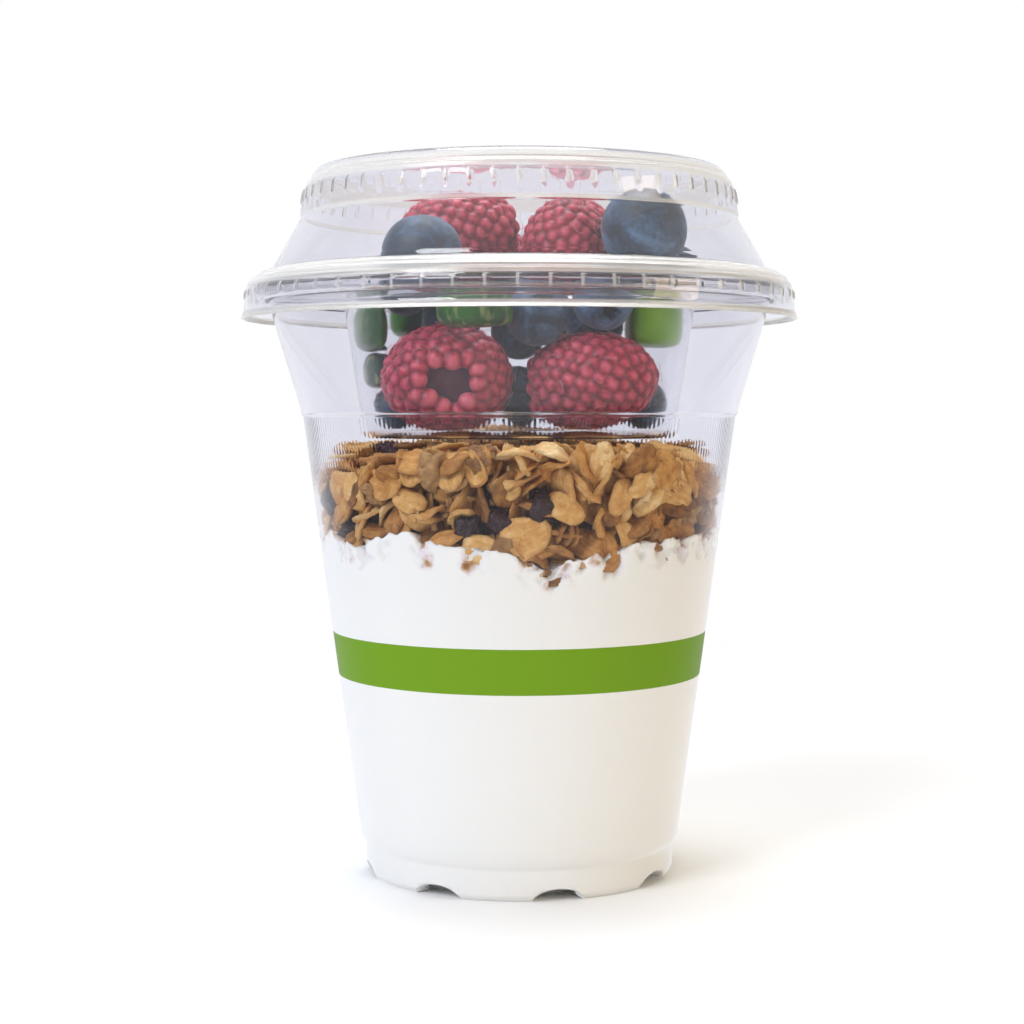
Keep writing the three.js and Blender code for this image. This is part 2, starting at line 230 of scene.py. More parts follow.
def spun(name, outline, sides):
    # a ring of points pulled to the outline, then screwed once round Z into one skin
    bpy.ops.mesh.primitive_circle_add(vertices=len(outline), radius=mm)
    piece = bpy.context.object
    piece.name = name
    for vertex, (radius, height) in zip(piece.data.vertices, outline):
        vertex.co = (max(radius, 0.0) * mm, 0.0, height * mm)
    openAtAxis(piece)
    applied(piece, "SCREW", steps=sides, render_steps=sides, use_merge_vertices=True)
    editAll(piece)
    bpy.ops.mesh.remove_doubles(threshold=0.0005 * mm)
    bpy.ops.mesh.dissolve_degenerate(threshold=0.0005 * mm)
    bpy.ops.mesh.select_all(action="SELECT")
    bpy.ops.mesh.normals_make_consistent(inside=False)
    bpy.ops.object.mode_set(mode="OBJECT")
    bpy.ops.object.shade_smooth()
    return piece


def polar(point):
    # radius and angle of a point, and its height, in mm
    return hypot(point.x, point.y) / mm, atan2(point.y, point.x), point.z / mm


def outward(angle, height=0.0):
    return Vector((cos(angle), sin(angle), height))


# The cup, its tub and its lid are formed from clear sheet.
plastic = {
    "sheet": 0.5,
    "haze": 0.003,
    "hazeOfLid": 0.045,
    "hazeOfTub": 0.004,
    "roughness": 0.02,
    "tubRoughness": 0.05,
}

cup = {
    "sides": 528,
    "footRadius": 27.9,
    "footHeight": 5.4,
    "panelRadius": 23.6,
    "panelZ": 2.6,
    "shoulderRadius": 28.9,
    "shoulderZ": 6.6,
    "taper": 0.1385,
    "stepZ": 17.7,
    "stepDepth": 0.12,
    "bandZ": (35.8, 43.6),
    "fluteZ": (69.0, 82.0),
    "fluteDepth": 0.015,
    "ledgeZ": 82.4,
    "ledgeDepth": 0.5,
    "flareZ": 83.9,
    "flareTaper": 0.306,
    "flareTopZ": 102.6,
    "rim": [(45.5, 104.7), (46.1, 105.1), (47.2, 105.1), (47.7, 104.6), (47.7, 103.6),
            (47.1, 103.1), (46.4, 103.3)],
    "archCount": 8,
    "archWidth": 9.0,
    "archHeight": 2.1,
    "firstArch": -76.0,
}


def cupRadius(z):
    # outer radius of the cup's wall
    if z < cup["ledgeZ"]:
        return cup["shoulderRadius"] + cup["taper"] * (z - cup["shoulderZ"])
    below = cup["shoulderRadius"] + cup["taper"] * (cup["ledgeZ"] - cup["shoulderZ"])
    return below + cup["ledgeDepth"] + cup["flareTaper"] * (z - cup["flareZ"])


def overVent(angle, z, above):
    # height of a point of the foot, lifted where it lies in one of the arched vents
    pitch = 2 * pi / cup["archCount"]
    away = (angle - radians(cup["firstArch"]) + pitch / 2) % pitch - pitch / 2
    across = away * cup["footRadius"] / (cup["archWidth"] / 2)
    rise = cup["archHeight"] * sqrt(max(0.0, 1 - across ** 2))
    return max(z, rise + above) if rise > 0.05 else z


def footLine(inset, wallInset, panelOut, ringOut, ringIn):
    # the foot's section from the axis to the shoulder, lying inset from its outer face
    floor = cup["panelZ"] + inset
    edge = cup["footRadius"] - inset
    return [
        (0, floor),
        (cup["panelRadius"] + panelOut, floor),
        (cup["panelRadius"] + ringOut, inset),
        (cup["footRadius"] - ringIn, inset),
        *[(edge, z) for z in (1.0, 2.5, 3.1, cup["footHeight"])],
        (cup["shoulderRadius"] - wallInset, cup["shoulderZ"]),
    ]


def clearPla(name, roughness, haze):
    # thermoformed PLA: clear and glossy, faintly lilac, with a breath of haze in it
    return newMaterial(name, Base_Color=linear("fbfbfe"), Roughness=roughness, IOR=1.46,
                       Transmission_Weight=1.0 - haze, Specular_IOR_Level=0.5)


def grow(vertex, share):
    vertex.co.x *= share
    vertex.co.y *= share


def buildCup(clear, ink):
    half = plastic["sheet"] / 2
    low, high = cup["bandZ"]
    fluteLow, fluteHigh = cup["fluteZ"]

    def outer(z):
        return cupRadius(z) - half

    middle = [
        *footLine(half, half, 0.1, 1.0, 0.7),
        (outer(cup["stepZ"]) - cup["stepDepth"], cup["stepZ"] - 0.3),
        (outer(cup["stepZ"]), cup["stepZ"] + 0.3),
        *[(outer(z), z) for z in (low, high, fluteLow, 76, fluteHigh)],
        (outer(cup["ledgeZ"] - 0.01), cup["ledgeZ"]),
        (outer(cup["flareZ"]) - 0.05, cup["ledgeZ"] + 0.5),
        (outer(cup["flareZ"]), cup["flareZ"]),
        (outer(cup["flareTopZ"]), cup["flareTopZ"]),
        *cup["rim"],
    ]
    outline = sheetOutline(rounded(middle, 0.35, 2), plastic["sheet"])
    piece = spun("cup_shell", outline, cup["sides"])
    step = 2 * pi / cup["sides"]
    for vertex in piece.data.vertices:
        radius, angle, z = polar(vertex.co)
        if radius > cup["panelRadius"] + 0.7 and z < cup["archHeight"] + plastic["sheet"]:
            inside = z > 0.3 and radius < cup["footRadius"] - 0.3
            vertex.co.z = overVent(angle, z, plastic["sheet"] if inside else 0.0) * mm
        # fine upright flutes, which fade out downwards
        if fluteLow < z < fluteHigh + 0.2 and radius > outer(z):
            fade = (z - fluteLow) / (fluteHigh - fluteLow)
            sign = 1 if round(angle / step) % 2 else -1
            grow(vertex, 1 + sign * 0.5 * cup["fluteDepth"] * min(1.0, 1.6 * fade) / radius)
    finish(piece, "cup_shell", "cup_plastic", clear, "cup")
    piece.data.materials.append(ink)
    for face in piece.data.polygons:
        radius, angle, z = polar(face.center)
        outside = radius > outer(z) + 0.1
        face.material_index = int(outside and low < z < high)
        if outside and fluteLow < z < fluteHigh:
            face.use_smooth = False
    return piece


tub = {
    "sides": 264,
    "bottomZ": 78.4,
    "bottomRadius": 28.5,
    "heel": 1.2,
    "topZ": 103.0,
    "topRadius": 32.2,
    "hangRadius": 44.4,
    "lipRadius": 47.7,
    "seatZ": 105.7,
}


def buildTub(clear):
    half = plastic["sheet"] / 2
    middle = rounded([
        (0, tub["bottomZ"] + half),
        (tub["bottomRadius"] - 3.0, tub["bottomZ"] + half),
        (tub["bottomRadius"] - tub["heel"], tub["bottomZ"] + half),
        (tub["bottomRadius"] - half, tub["bottomZ"] + tub["heel"]),
        (tub["topRadius"] - half, tub["topZ"] + half),
        (tub["hangRadius"] - 0.4, tub["topZ"] + half),
        (tub["hangRadius"] - 0.1, tub["seatZ"] + half),
        (tub["lipRadius"], tub["seatZ"] + half),
    ], 0.8, 4)
    piece = spun("fruit_tub", sheetOutline(middle, plastic["sheet"]), tub["sides"])
    return finish(piece, "fruit_tub", "insert_plastic", clear, "insert")


lid = {
    "sides": 600,
    "panelRadius": 34.4,
    "panelZ": 125.65,
    "tickEvery": 10,
    "tickDepth": 0.24,
    "tickZ": ((103.4, 104.8), (120.9, 123.1)),
    "ticksOutside": 30,
    "skirt": [(50.33, 99.85), (49.85, 101.2), (49.7, 102.6), (49.66, 103.6), (49.6, 104.8)],
    "lowRing": [(49.3, 105.4), (49.15, 106.0), (48.7, 106.4), (48.35, 107.1), (47.6, 107.35),
                (46.9, 107.95), (44.75, 108.3), (44.4, 109.4)],
    "highRing": [(39.55, 118.1), (39.75, 118.8), (39.45, 120.9), (39.15, 123.1), (38.75, 123.7),
                 (38.5, 124.5), (38.0, 124.9), (37.7, 125.6), (36.9, 126.7), (35.8, 126.7)],
}


def isHighlightBand(radius, z):
    # where the painted highlight goes: the folds of both rings, the foot of the upper one and the
    # hem
    lowRing = radius > 44.6 and 105.3 < z < 108.4
    highRing = radius > 35.2 and 123.5 < z < 126.2
    foot = 38.5 < radius < 40.4 and 118.2 < z < 118.9
    return lowRing or highRing or foot or z < 100.5


def isTick(radius, z, sidesRound):
    # one face in ten, beside each pressed-out line of points
    every = lid["tickEvery"]
    away = (sidesRound + every / 2) % every - every / 2
    level = any(low - 0.3 < z < high + 0.3 for low, high in lid["tickZ"])
    return level and radius > lid["ticksOutside"] and -1 < away < 0


def buildLid(clear, highlightBands):
    panel = [(r, lid["panelZ"]) for r in (lid["panelRadius"] + 0.1, 20, 0)]
    middle = rounded(lid["skirt"] + lid["lowRing"] + lid["highRing"] + panel, 0.3, 2)
    piece = spun("lid_shell", sheetOutline(middle, plastic["sheet"]), lid["sides"])
    step = 2 * pi / lid["sides"]
    for vertex in piece.data.vertices:
        radius, angle, z = polar(vertex.co)
        level = any(low < z < high for low, high in lid["tickZ"])
        if level and radius > lid["ticksOutside"] and round(angle / step) % lid["tickEvery"] == 0:
            grow(vertex, 1 + lid["tickDepth"] / radius)
    finish(piece, "lid_shell", "lid_plastic", clear, "lid")
    piece.data.materials.append(highlightBands)
    # painted highlight on the ring folds, the hem and the ticks
    for face in piece.data.polygons:
        radius, angle, z = polar(face.center)
        face.material_index = int(isHighlightBand(radius, z) or isTick(radius, z, angle / step))
    return piece


# painted highlight: the same sheet made milky and cream-white on the rings, ticks and hem,
# standing for the lines of light that they catch
highlightBandPla = newMaterial("highlightBandPla", Base_Color=linear("fffef9"), Roughness=0.2, IOR=1.46,
                          Transmission_Weight=0.78)
# flat flexographic ink on the wall: even, opaque, with a half gloss
printInk = newMaterial("printInk", Base_Color=linear("77a31c"), Roughness=0.45,
                       Specular_IOR_Level=0.2)
shells = [
    buildCup(clearPla("clearPlaCup", plastic["roughness"], plastic["haze"]), printInk),
    buildTub(clearPla("clearPlaTub", plastic["tubRoughness"], plastic["hazeOfTub"])),
    buildLid(clearPla("clearPlaLid", plastic["roughness"], plastic["hazeOfLid"]), highlightBandPla),
]
for shell in shells:
    shell.visible_shadow = False
    shell.visible_diffuse = False
print("plastic:", [len(shell.data.polygons) for shell in shells])


yogurt = {
    "sides": 420,
    "top": 61.0,
    "plainBelow": 20,
    "intoWall": 0.1,
    "intoFoot": 0.38,
    "pressed": 1.3,
    "pressedDown": 4.5,
    "broadWave": 1.6,
    "narrowWave": 1.1,
    "bays": 1.7,
    "nicks": 1.2,
    "chips": 0.6,
}


def raggedTop(angle):
    # height of the yogurt's edge on the wall: dipped at the front, with the small bays and
    # peaks that the granola presses into it
    edge = yogurt["top"] + yogurt["broadWave"] * sin(2 * angle + radians(70))
    edge += yogurt["narrowWave"] * sin(5 * angle - radians(50))
    across = outward(angle)
    edge += yogurt["bays"] * noise.noise(across * 5.5 + Vector((3.1, 0, 0)))
    edge += yogurt["nicks"] * noise.noise(across * 16 + Vector((0, 7.7, 0)))
    return edge + yogurt["chips"] * noise.noise(across * 34 + Vector((5.5, 0, 1.2)))


def pressedIn(spot, below):
    # depth to which flakes on the wall press into the yogurt just under its edge
    reach = max(0.0, 1 - max(0.0, below) / yogurt["pressedDown"])
    patch = noise.noise(Vector((spot.x, spot.y, 61.0)) * 0.23) + 0.5 * noise.noise(spot * 0.7)
    return yogurt["pressed"] * min(1.0, max(0.0, 2.5 * patch)) * min(1.0, 2 * reach)


def culturedMilk():
    # set yogurt: milk white, softly glossy, light scattered just under its skin
    material = newMaterial(
        "culturedMilk", Roughness=0.42, Subsurface_Weight=0.25, Subsurface_Scale=1.0 * mm,
        Subsurface_Radius=(1.0, 0.9, 0.75), IOR=1.36)
    place = placeOn(material)
    # flake tips that show through a skin of yogurt: soft blots, fewer with depth
    wander = mottle(material, place, 1 / (2.2 * mm), 3.0, output="Color")
    swayed = addNode(material, "ShaderNodeVectorMath", {0: wander, 1: (0.0035,) * 3, 2: place},
                     operation="MULTIPLY_ADD").outputs["Vector"]
    blots = addNode(material, "ShaderNodeTexVoronoi", {
        "Vector": stretched(material, swayed, (1, 1, 0.62)), "Scale": 1 / (3.2 * mm),
        "Randomness": 1.0})
    chance = addNode(material, "ShaderNodeSeparateXYZ", {"Vector": blots.outputs["Color"]})
    wanted = ranged(material, laid(material, "belowTop"), 0.0, 9.0)
    spare = reckon(material, "SUBTRACT", chance.outputs["X"], wanted)
    reach = ranged(material, spare, 0.0, 0.6, -0.05, 0.5)
    inside = reckon(material, "SUBTRACT", reach, blots.outputs["Distance"])
    smear = ranged(material, inside, -0.2, 0.34, steps="SMOOTHSTEP")
    feed(material, "Base Color", colourSteps(
        material, smear, (0.0, "f7f6f1"), (0.35, "ece3e6"), (0.6, "d9c2b0"), (0.85, "bd976f"),
        (1.0, "9c6d42")))
    relief(material, mottle(material, place, 1 / (1.6 * mm), 3.0), 0.15, 0.15)
    return material


def buildYogurt():
    top = yogurt["top"]
    start = yogurt["plainBelow"]
    sheet = plastic["sheet"] - yogurt["intoWall"]
    foot = plastic["sheet"] - yogurt["intoFoot"]
    shoulder = cup["shoulderZ"]

    def inner(z):
        return cupRadius(z) - plastic["sheet"] + yogurt["intoWall"]

    # rings far apart below, and every half millimetre near the top
    side = [shoulder + (top - 7 - shoulder) * i / 20 for i in range(20)]
    side += [top - 7 + i / 2 for i in range(15)]
    outline = rounded(footLine(foot, sheet, 0.2, 1.3, 0.8), 0.35, 3)[:-1]
    outline += [Vector((inner(z), z)) for z in side]
    outline += [Vector((inner(top) * share, top)) for share in (0.97, 0.92, 0.8, 0.6, 0.3, 0)]
    piece = spun("yogurt_fill", outline, yogurt["sides"])
    depths = []
    for vertex in piece.data.vertices:
        radius, angle, z = polar(vertex.co)
        edge = raggedTop(angle)
        below = top - z
        if z > start and radius > 0.5:
            share = (z - start) / (top - start)
            z += (edge - top) * share * min(1.0, radius / inner(top)) ** 2
            grown = 1.0
            if share > 0.999 and radius < inner(top) * 0.99:
                z -= 0.5 + 0.8 * noise.noise(vertex.co / mm * 0.2)
            else:
                grown = (inner(z) - pressedIn(vertex.co / mm, edge - z)) / radius
            vertex.co = (vertex.co.x * grown, vertex.co.y * grown, z * mm)
            below = max(0.0, edge - z)
        elif radius > cup["panelRadius"] + 0.7 and z < cup["archHeight"] + 1:
            vertex.co.z = overVent(angle, z, foot) * mm
        depths.append(below)
    layOn(piece, "belowTop", depths)
    return finish(piece, "yogurt_fill", "yogurt", culturedMilk(), "yogurt")


buildYogurt()
print("yogurt poured")


# an oval's sink is the share of its size that no other oval may enter
granola = {
    "top": 73.0,
    "heaped": 3.1,
    "heapedAt": -84,
    "wallRadius": 37,
    "behindWall": 5.8,
    "belowEdge": 3.0,
    "aboveHeap": 2.5,
    "bankedAtBack": 1.6,
    "coreRadius": 27,
    "coreTop": 74.0,
    "tubRadius": 33,
    "underTub": 78.1,
    "wallTries": 2200,
    "wallSink": 0.52,
    "topTries": 420,
    "topRadius": 32,
    "topSink": 0.6,
    "tilts": (18, 30, 42, 54, 66, 80),
    "stacks": (0, 0, 0, 1, 2, 3),
    "stackStep": 1.5,
    "stackSink": 0.4,
    "clusterSize": (5.8, 5.0, 4.4),
    "clusterTries": 24,
    "driedSize": (6.6, 5.2, 4.0),
    "driedTries": 11,
    "driedOnTop": 26,
    "driedTones": (0.05, 0.15, 0.2, 0.3, 0.75, 0.95),
    "lumpDepth": 2.5,
    "crumbs": 260,
    "crumbSize": (1.5, 1.0, 0.4),
    "crumbDepth": (1.8, 4.5),
    "lodged": 26,
    "seed": 12,
}

oatFlake = {
    "models": 12,
    "length": (6.4, 9.8),
    "widthShare": (0.6, 0.84),
    "thickness": (0.9, 1.3),
    "bent": (-1.1, 1.3),
    "rolled": (-0.7, 1.1),
    "cracks": 3,
    "crackDepth": (0.03, 0.22),
    "crackSpread": (0.1, 0.3),
    "crease": (-0.5, 0.5),
    "creaseWidth": 0.55,
    "creaseDepth": 0.32,
}


def heapTop(angle, radius=granola["wallRadius"]):
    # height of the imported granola: heaped at front and back, low under the tub
    heaped = granola["heaped"] * cos(2 * (angle - radians(granola["heapedAt"])))
    return granola["top"] + (heaped + 0.6 * sin(5 * angle)) * radius / granola["wallRadius"]


def innerWall(z):
    return cupRadius(z) - plastic["sheet"]


def takeApart(piece, halves, rims):
    # keeps a model as plain arrays to copy from
    mesh = piece.data
    points = np.empty(len(mesh.vertices) * 3)
    mesh.vertices.foreach_get("co", points)
    model = {"points": points.reshape(-1, 3), "faces": [tuple(f.vertices) for f in mesh.polygons],
             "halves": halves, "rims": np.array(rims)}
    bpy.data.objects.remove(piece)
    return model


def modelFlake(seed):
    # rolled oat: a groat pressed flat, bent and crumpled, with a cracked edge
    dice = random.Random(seed)
    bpy.ops.mesh.primitive_uv_sphere_add(segments=18, ring_count=8, radius=1)
    flake = bpy.context.object
    length = dice.uniform(*oatFlake["length"])
    width = length * dice.uniform(*oatFlake["widthShare"])
    thickness = dice.uniform(*oatFlake["thickness"])
    bent = dice.uniform(*oatFlake["bent"])
    rolled = dice.uniform(*oatFlake["rolled"])
    cracks = [(dice.uniform(0, 2 * pi), dice.uniform(*oatFlake["crackDepth"]),
               dice.uniform(*oatFlake["crackSpread"])) for crack in range(oatFlake["cracks"])]
    crease = dice.uniform(*oatFlake["crease"])
    rims, alongs, acrosses = [], [], []
    for vertex in flake.data.vertices:
        x, y, z = vertex.co
        out = hypot(x, y)
        angle = atan2(y, x)
        edge = outward(angle, seed * 3.7)
        rim = 1 + 0.14 * noise.noise(edge * 1.2) + 0.1 * noise.noise(edge * 3.6)
        for crack, deep, spread in cracks:
            rim -= deep * exp(-((cos(angle - crack) - 1) / spread ** 2) ** 2)
        px = x * (1 + (rim - 1) * out) * length / 2
        py = y * (1 + (rim - 1) * out) * width / 2
        pz = copysign(thickness / 2 * sqrt(max(0.0, 1 - out ** 4)), z)
        groove = exp(-((py - crease) / oatFlake["creaseWidth"]) ** 2)
        groove *= max(0.0, 1 - (px / (0.45 * length)) ** 2)
        pz -= copysign(oatFlake["creaseDepth"] * groove, z)
        pz += 0.55 * noise.noise(Vector((px * 0.38, py * 0.38, seed * 1.9)))
        pz += 0.3 * noise.noise(Vector((px * 0.9, py * 1.3, seed * 2.3 + z)))
        pz += bent * (px / (length / 2)) ** 2 + rolled * (py / (width / 2)) ** 2
        vertex.co = (px * mm, py * mm, pz * mm)
        rims.append(out)
        alongs.append(px + seed * 31)
        acrosses.append(py - crease)
    model = takeApart(flake, np.array([length / 2, width / 2, thickness / 2 + 0.35]), rims)
    model["along"] = np.array(alongs)
    model["across"] = np.array(acrosses)
    return model


def modelLump(seed, size, rough, fine, detail=3):
    # knobbly lump, such as an oat cluster, a dried berry or a crumb
    bpy.ops.mesh.primitive_ico_sphere_add(subdivisions=detail, radius=1)
    lump = bpy.context.object
    rims = []
    for vertex in lump.data.vertices:
        spot = vertex.co + Vector((seed * 5.1, seed, 0))
        bulge = 1 + rough * noise.noise(spot * 1.6) + fine * noise.noise(spot * 4.5)
        rims.append(bulge)
        vertex.co = Vector([a * b * bulge * mm / 2 for a, b in zip(vertex.co, size)])
    return takeApart(lump, np.array(size) / 2, rims)


def meshOf(name, placed):
    # one mesh of many models, each given with its points in place
    points, faces = [], []
    start = 0
    for model, moved in placed:
        points.append(moved)
        faces += [tuple(corner + start for corner in face) for face in model["faces"]]
        start += len(moved)
    mesh = bpy.data.meshes.new(name)
    mesh.from_pydata(np.concatenate(points).tolist(), [], faces)
    piece = bpy.data.objects.new(name, mesh)
    bpy.context.scene.collection.objects.link(piece)
    return piece


def gather(name, copies, slotName, material, *nodes):
    # one piece of many copies; a copy is (model, rotation, middle in mm, tone)
    piece = meshOf(name, [(model, model["points"] @ rotation.T + np.array(middle) * mm)
                          for model, rotation, middle, tone in copies])
    piece.data.polygons.foreach_set("use_smooth", [True] * len(piece.data.polygons))
    models = [model for model, rotation, middle, tone in copies]
    tones = [np.full(len(model["points"]), tone) for model, rotation, middle, tone in copies]
    layOn(piece, "tone", np.concatenate(tones))
    for label, key in (("rim", "rims"), ("along", "along"), ("across", "across")):
        layOn(piece, label, np.concatenate([m.get(key, m["rims"]) for m in models]))
    return finish(piece, name, slotName, material, *nodes)


def turnTo(normal, spin):
    # rotation that points a piece's Z along a normal, spun about it
    normal = Vector(normal).normalized()
    return np.array(normal.to_track_quat("Z", "Y").to_matrix() @ Matrix.Rotation(spin, 3, "Z"))


class Packing:
    # pieces as ovals that may touch but not sink far into each other
    def __init__(self, most=1500):
        self.count = 0
        self.middles = np.zeros((most, 3))
        self.turns = np.zeros((most, 3, 3))
        self.halves = np.ones((most, 3))
        corners = [(x, y, z) for x in (-1, 0, 1) for y in (-1, 0, 1) for z in (-1, 0, 1)]
        self.probes = np.array([Vector(c).normalized() for c in corners if any(c)])

    def clash(self, middle, turn, halves, sink):
        away = self.middles[:self.count] - middle
        reach = halves[0] + self.halves[:self.count, 0]
        near = np.nonzero((away ** 2).sum(1) < reach ** 2)[0]
        if not len(near):
            return False
        turns, theirHalves = self.turns[near], self.halves[near][:, None]
        middles = self.middles[near][:, None]
        own = (self.probes * halves) @ turn.T + middle
        inTheirs = np.einsum("npi,nij->npj", own[None] - middles, turns) / (theirHalves * sink)
        if ((inTheirs ** 2).sum(2) < 1).any():
            return True
        theirs = np.einsum("npj,nij->npi", self.probes[None] * theirHalves, turns) + middles
        inOwn = ((theirs - middle) @ turn) / (halves * sink)
        return bool(((inOwn ** 2).sum(2) < 1).any())

    def keep(self, middle, turn, halves):
        self.middles[self.count] = middle
        self.turns[self.count] = turn
        self.halves[self.count] = halves
        self.count += 1


def againstWall(points, turn, angle, z):
    # middle of a piece slid out along an angle until it touches the wall
    moved = points @ turn.T / mm
    out = innerWall(z) - 3
    way = np.array([cos(angle), sin(angle)])
    for attempt in range(4):
        reach = np.hypot(moved[:, 0] + out * way[0], moved[:, 1] + out * way[1])
        wall = np.array([innerWall(h) for h in moved[:, 2] + z])
        out += (wall - 0.06 - reach).min()
    return np.array([out * way[0], out * way[1], z]), moved[:, 2].min(), moved[:, 2].max()


def packWall(packing, dice, models, tries, deepest, toneOf, stacks=(0,)):
    # fills the space behind the wall with pieces, from the wall inwards
    copies = []
    for attempt in range(tries):
        model = dice.choice(models)
        angle = dice.uniform(-pi, pi)
        low = raggedTop(angle) - granola["belowEdge"]
        banked = granola["bankedAtBack"] * max(0.0, sin(angle))
        high = heapTop(angle) + granola["aboveHeap"] + banked
        z = dice.uniform(low, high)
        tilt = radians(dice.choice(granola["tilts"]) + dice.uniform(-9, 9))
        lean = dice.uniform(0, 2 * pi)
        out = outward(angle)
        aside = Vector((-out.y, out.x, 0)) * cos(lean) + Vector((0, 0, 1)) * sin(lean)
        normal = out * cos(tilt) + aside * sin(tilt)
        turn = turnTo(normal, dice.uniform(0, 2 * pi))
        middle, lowest, highest = againstWall(model["points"], turn, angle, z)
        lift = max(0.0, low - (z + lowest)) - max(0.0, z + highest - high)
        middle, lowest, highest = againstWall(model["points"], turn, angle, z + lift)
        inward = np.array([cos(angle), sin(angle), 0])
        depth = 0.0
        while depth < deepest and packing.clash(middle - inward * depth, turn, model["halves"],
                                                granola["wallSink"]):
            depth += 0.5
        if depth >= deepest:
            continue
        middle = middle - inward * depth
        tone = toneOf(dice)
        packing.keep(middle, turn, model["halves"])
        copies.append((model, turn, middle, tone))
        # some flakes baked together in a leaning stack
        for sibling in range(dice.choice(stacks)):
            model = dice.choice(models)
            slid = middle + turn[:, 2] * (sibling + 1) * granola["stackStep"]
            askew = turn @ turnTo((dice.uniform(-0.12, 0.12), dice.uniform(-0.12, 0.12), 1),
                                  dice.uniform(-0.5, 0.5))
            angle = atan2(slid[1], slid[0])
            slid, lowest, highest = againstWall(model["points"], askew, angle, slid[2])
            fits = low < slid[2] + lowest and slid[2] + highest < high
            if fits and not packing.clash(slid, askew, model["halves"], granola["stackSink"]):
                packing.keep(slid, askew, model["halves"])
                copies.append((model, askew, slid, tone + dice.uniform(-0.1, 0.1)))
    return copies


def packTop(packing, dice, models, tries, toneOf):
    # flakes that lie on the heap, each raised until it is clear of those below
    copies = []
    for attempt in range(tries):
        model = dice.choice(models)
        angle = dice.uniform(-pi, pi)
        radius = granola["topRadius"] * sqrt(dice.uniform(0.02, 1))
        tilt = radians(dice.uniform(0, 48))
        lean = dice.uniform(0, 2 * pi)
        normal = (sin(tilt) * cos(lean), sin(tilt) * sin(lean), cos(tilt))
        turn = turnTo(normal, dice.uniform(0, 2 * pi))
        points = model["points"] @ turn.T / mm
        heap = heapTop(angle, radius)
        z = max(heap - 1.2, granola["coreTop"] if radius < granola["coreRadius"] else 0.0)
        ceiling = granola["underTub"] if radius < granola["tubRadius"] else heap + 3.5
        middle = np.array([radius * cos(angle), radius * sin(angle), z])
        while middle[2] + points[:, 2].max() < ceiling:
            if not packing.clash(middle, turn, model["halves"], granola["topSink"]):
                packing.keep(middle, turn, model["halves"])
                copies.append((model, turn, middle, toneOf(dice)))
                break
            middle = middle + np.array([0, 0, 0.5])
    return copies


def toastedOat():
    # rolled oats baked in syrup: matt tan starch with bran fibres, browned at the edges
    material = newMaterial("toastedOat", Roughness=0.6, Specular_IOR_Level=0.4)
    place = placeOn(material)
    tone, rim, along, across = [laid(material, name)
                                for name in ("tone", "rim", "along", "across")]
    lengthwise = addNode(material, "ShaderNodeCombineXYZ", {"X": along, "Y": across})
    drawn = stretched(material, lengthwise.outputs["Vector"], (0.22, 1.5, 1))
    fibre = mottle(material, drawn, 1.1, 3.0, 0.6)
    cloud = mottle(material, place, 1 / (2.2 * mm), 4.0, 0.65)
    pits = mottle(material, place, 1 / (0.6 * mm), 3.0, 0.7)
    textured = reckon(material, "MULTIPLY_ADD", fibre, 0.5, cloud)
    clouded = reckon(material, "MULTIPLY_ADD", textured, 0.9, tone)
    base = colourSteps(
        material, reckon(material, "SUBTRACT", clouded, 0.675), (0.0, "5e3b15"),
        (0.25, "98642a"), (0.5, "c98e46"), (0.72, "e0ae66"), (1.0, "f3d7a0"))
    edged = mixed(material, ranged(material, rim, 0.8, 1.0, 0.0, 0.35), base, "8d6030")
    bran = ranged(material, pits, 0.6, 0.72, 0.0, 0.6)
    feed(material, "Base Color", mixed(material, bran, edged, "75461b"))
    relief(material, reckon(material, "MULTIPLY_ADD", fibre, 1.4, pits), 0.7, 0.3)
    return material


def syrupCluster():
    # oats and nuts bound in baked honey: darker, with a half gloss in the hollows
    material = newMaterial("syrupCluster", Roughness=0.5)
    lumps = mottle(material, placeOn(material), 1 / (1.5 * mm), 5.0, 0.65)
    toned = reckon(material, "MULTIPLY_ADD", lumps, 0.8, laid(material, "tone"))
    feed(material, "Base Color", colourSteps(
        material, reckon(material, "SUBTRACT", toned, 0.4), (0.0, "3a2110"), (0.3, "70441f"),
        (0.6, "a0713d"), (1.0, "cfa56c")))
    relief(material, lumps, 1.0, 1.0)
    return material


def driedFruit():
    # dried berries and peel: leathery, dark purple to orange by their tone
    material = newMaterial("driedFruit", Roughness=0.4)
    feed(material, "Base Color", colourSteps(
        material, laid(material, "tone"), (0.0, "1f0d16"), (0.35, "35121d"), (0.5, "5f1d24"),
        (0.7, "a9601f"), (1.0, "c98a3a")))
    folds = mottle(material, placeOn(material), 1 / (1.1 * mm), 4.0, distortion=1.2)
    relief(material, folds, 0.9, 0.6)
    return material


def oatTone(dice):
    return min(0.95, max(0.05, dice.gauss(0.52, 0.23)))


def scatterCrumbs(dice, models):
    # crumbs along the yogurt's edge, some of them dragged down into it
    bits = []
    for i in range(granola["crumbs"]):
        model = dice.choice(models)
        angle = dice.uniform(-pi, pi)
        edge = raggedTop(angle)
        if i < granola["lodged"]:
            z = edge - abs(dice.gauss(0, 3.0))
            out = innerWall(z) - 0.2
        else:
            z = dice.uniform(edge + 0.2, heapTop(angle) + 1.5)
            out = innerWall(z) - dice.uniform(*granola["crumbDepth"])
        turn = turnTo(outward(angle), dice.uniform(0, 6.28))
        middle = (out * cos(angle), out * sin(angle), z)
        bits.append((model, turn, middle, dice.uniform(0.45, 1.0)))
    return bits


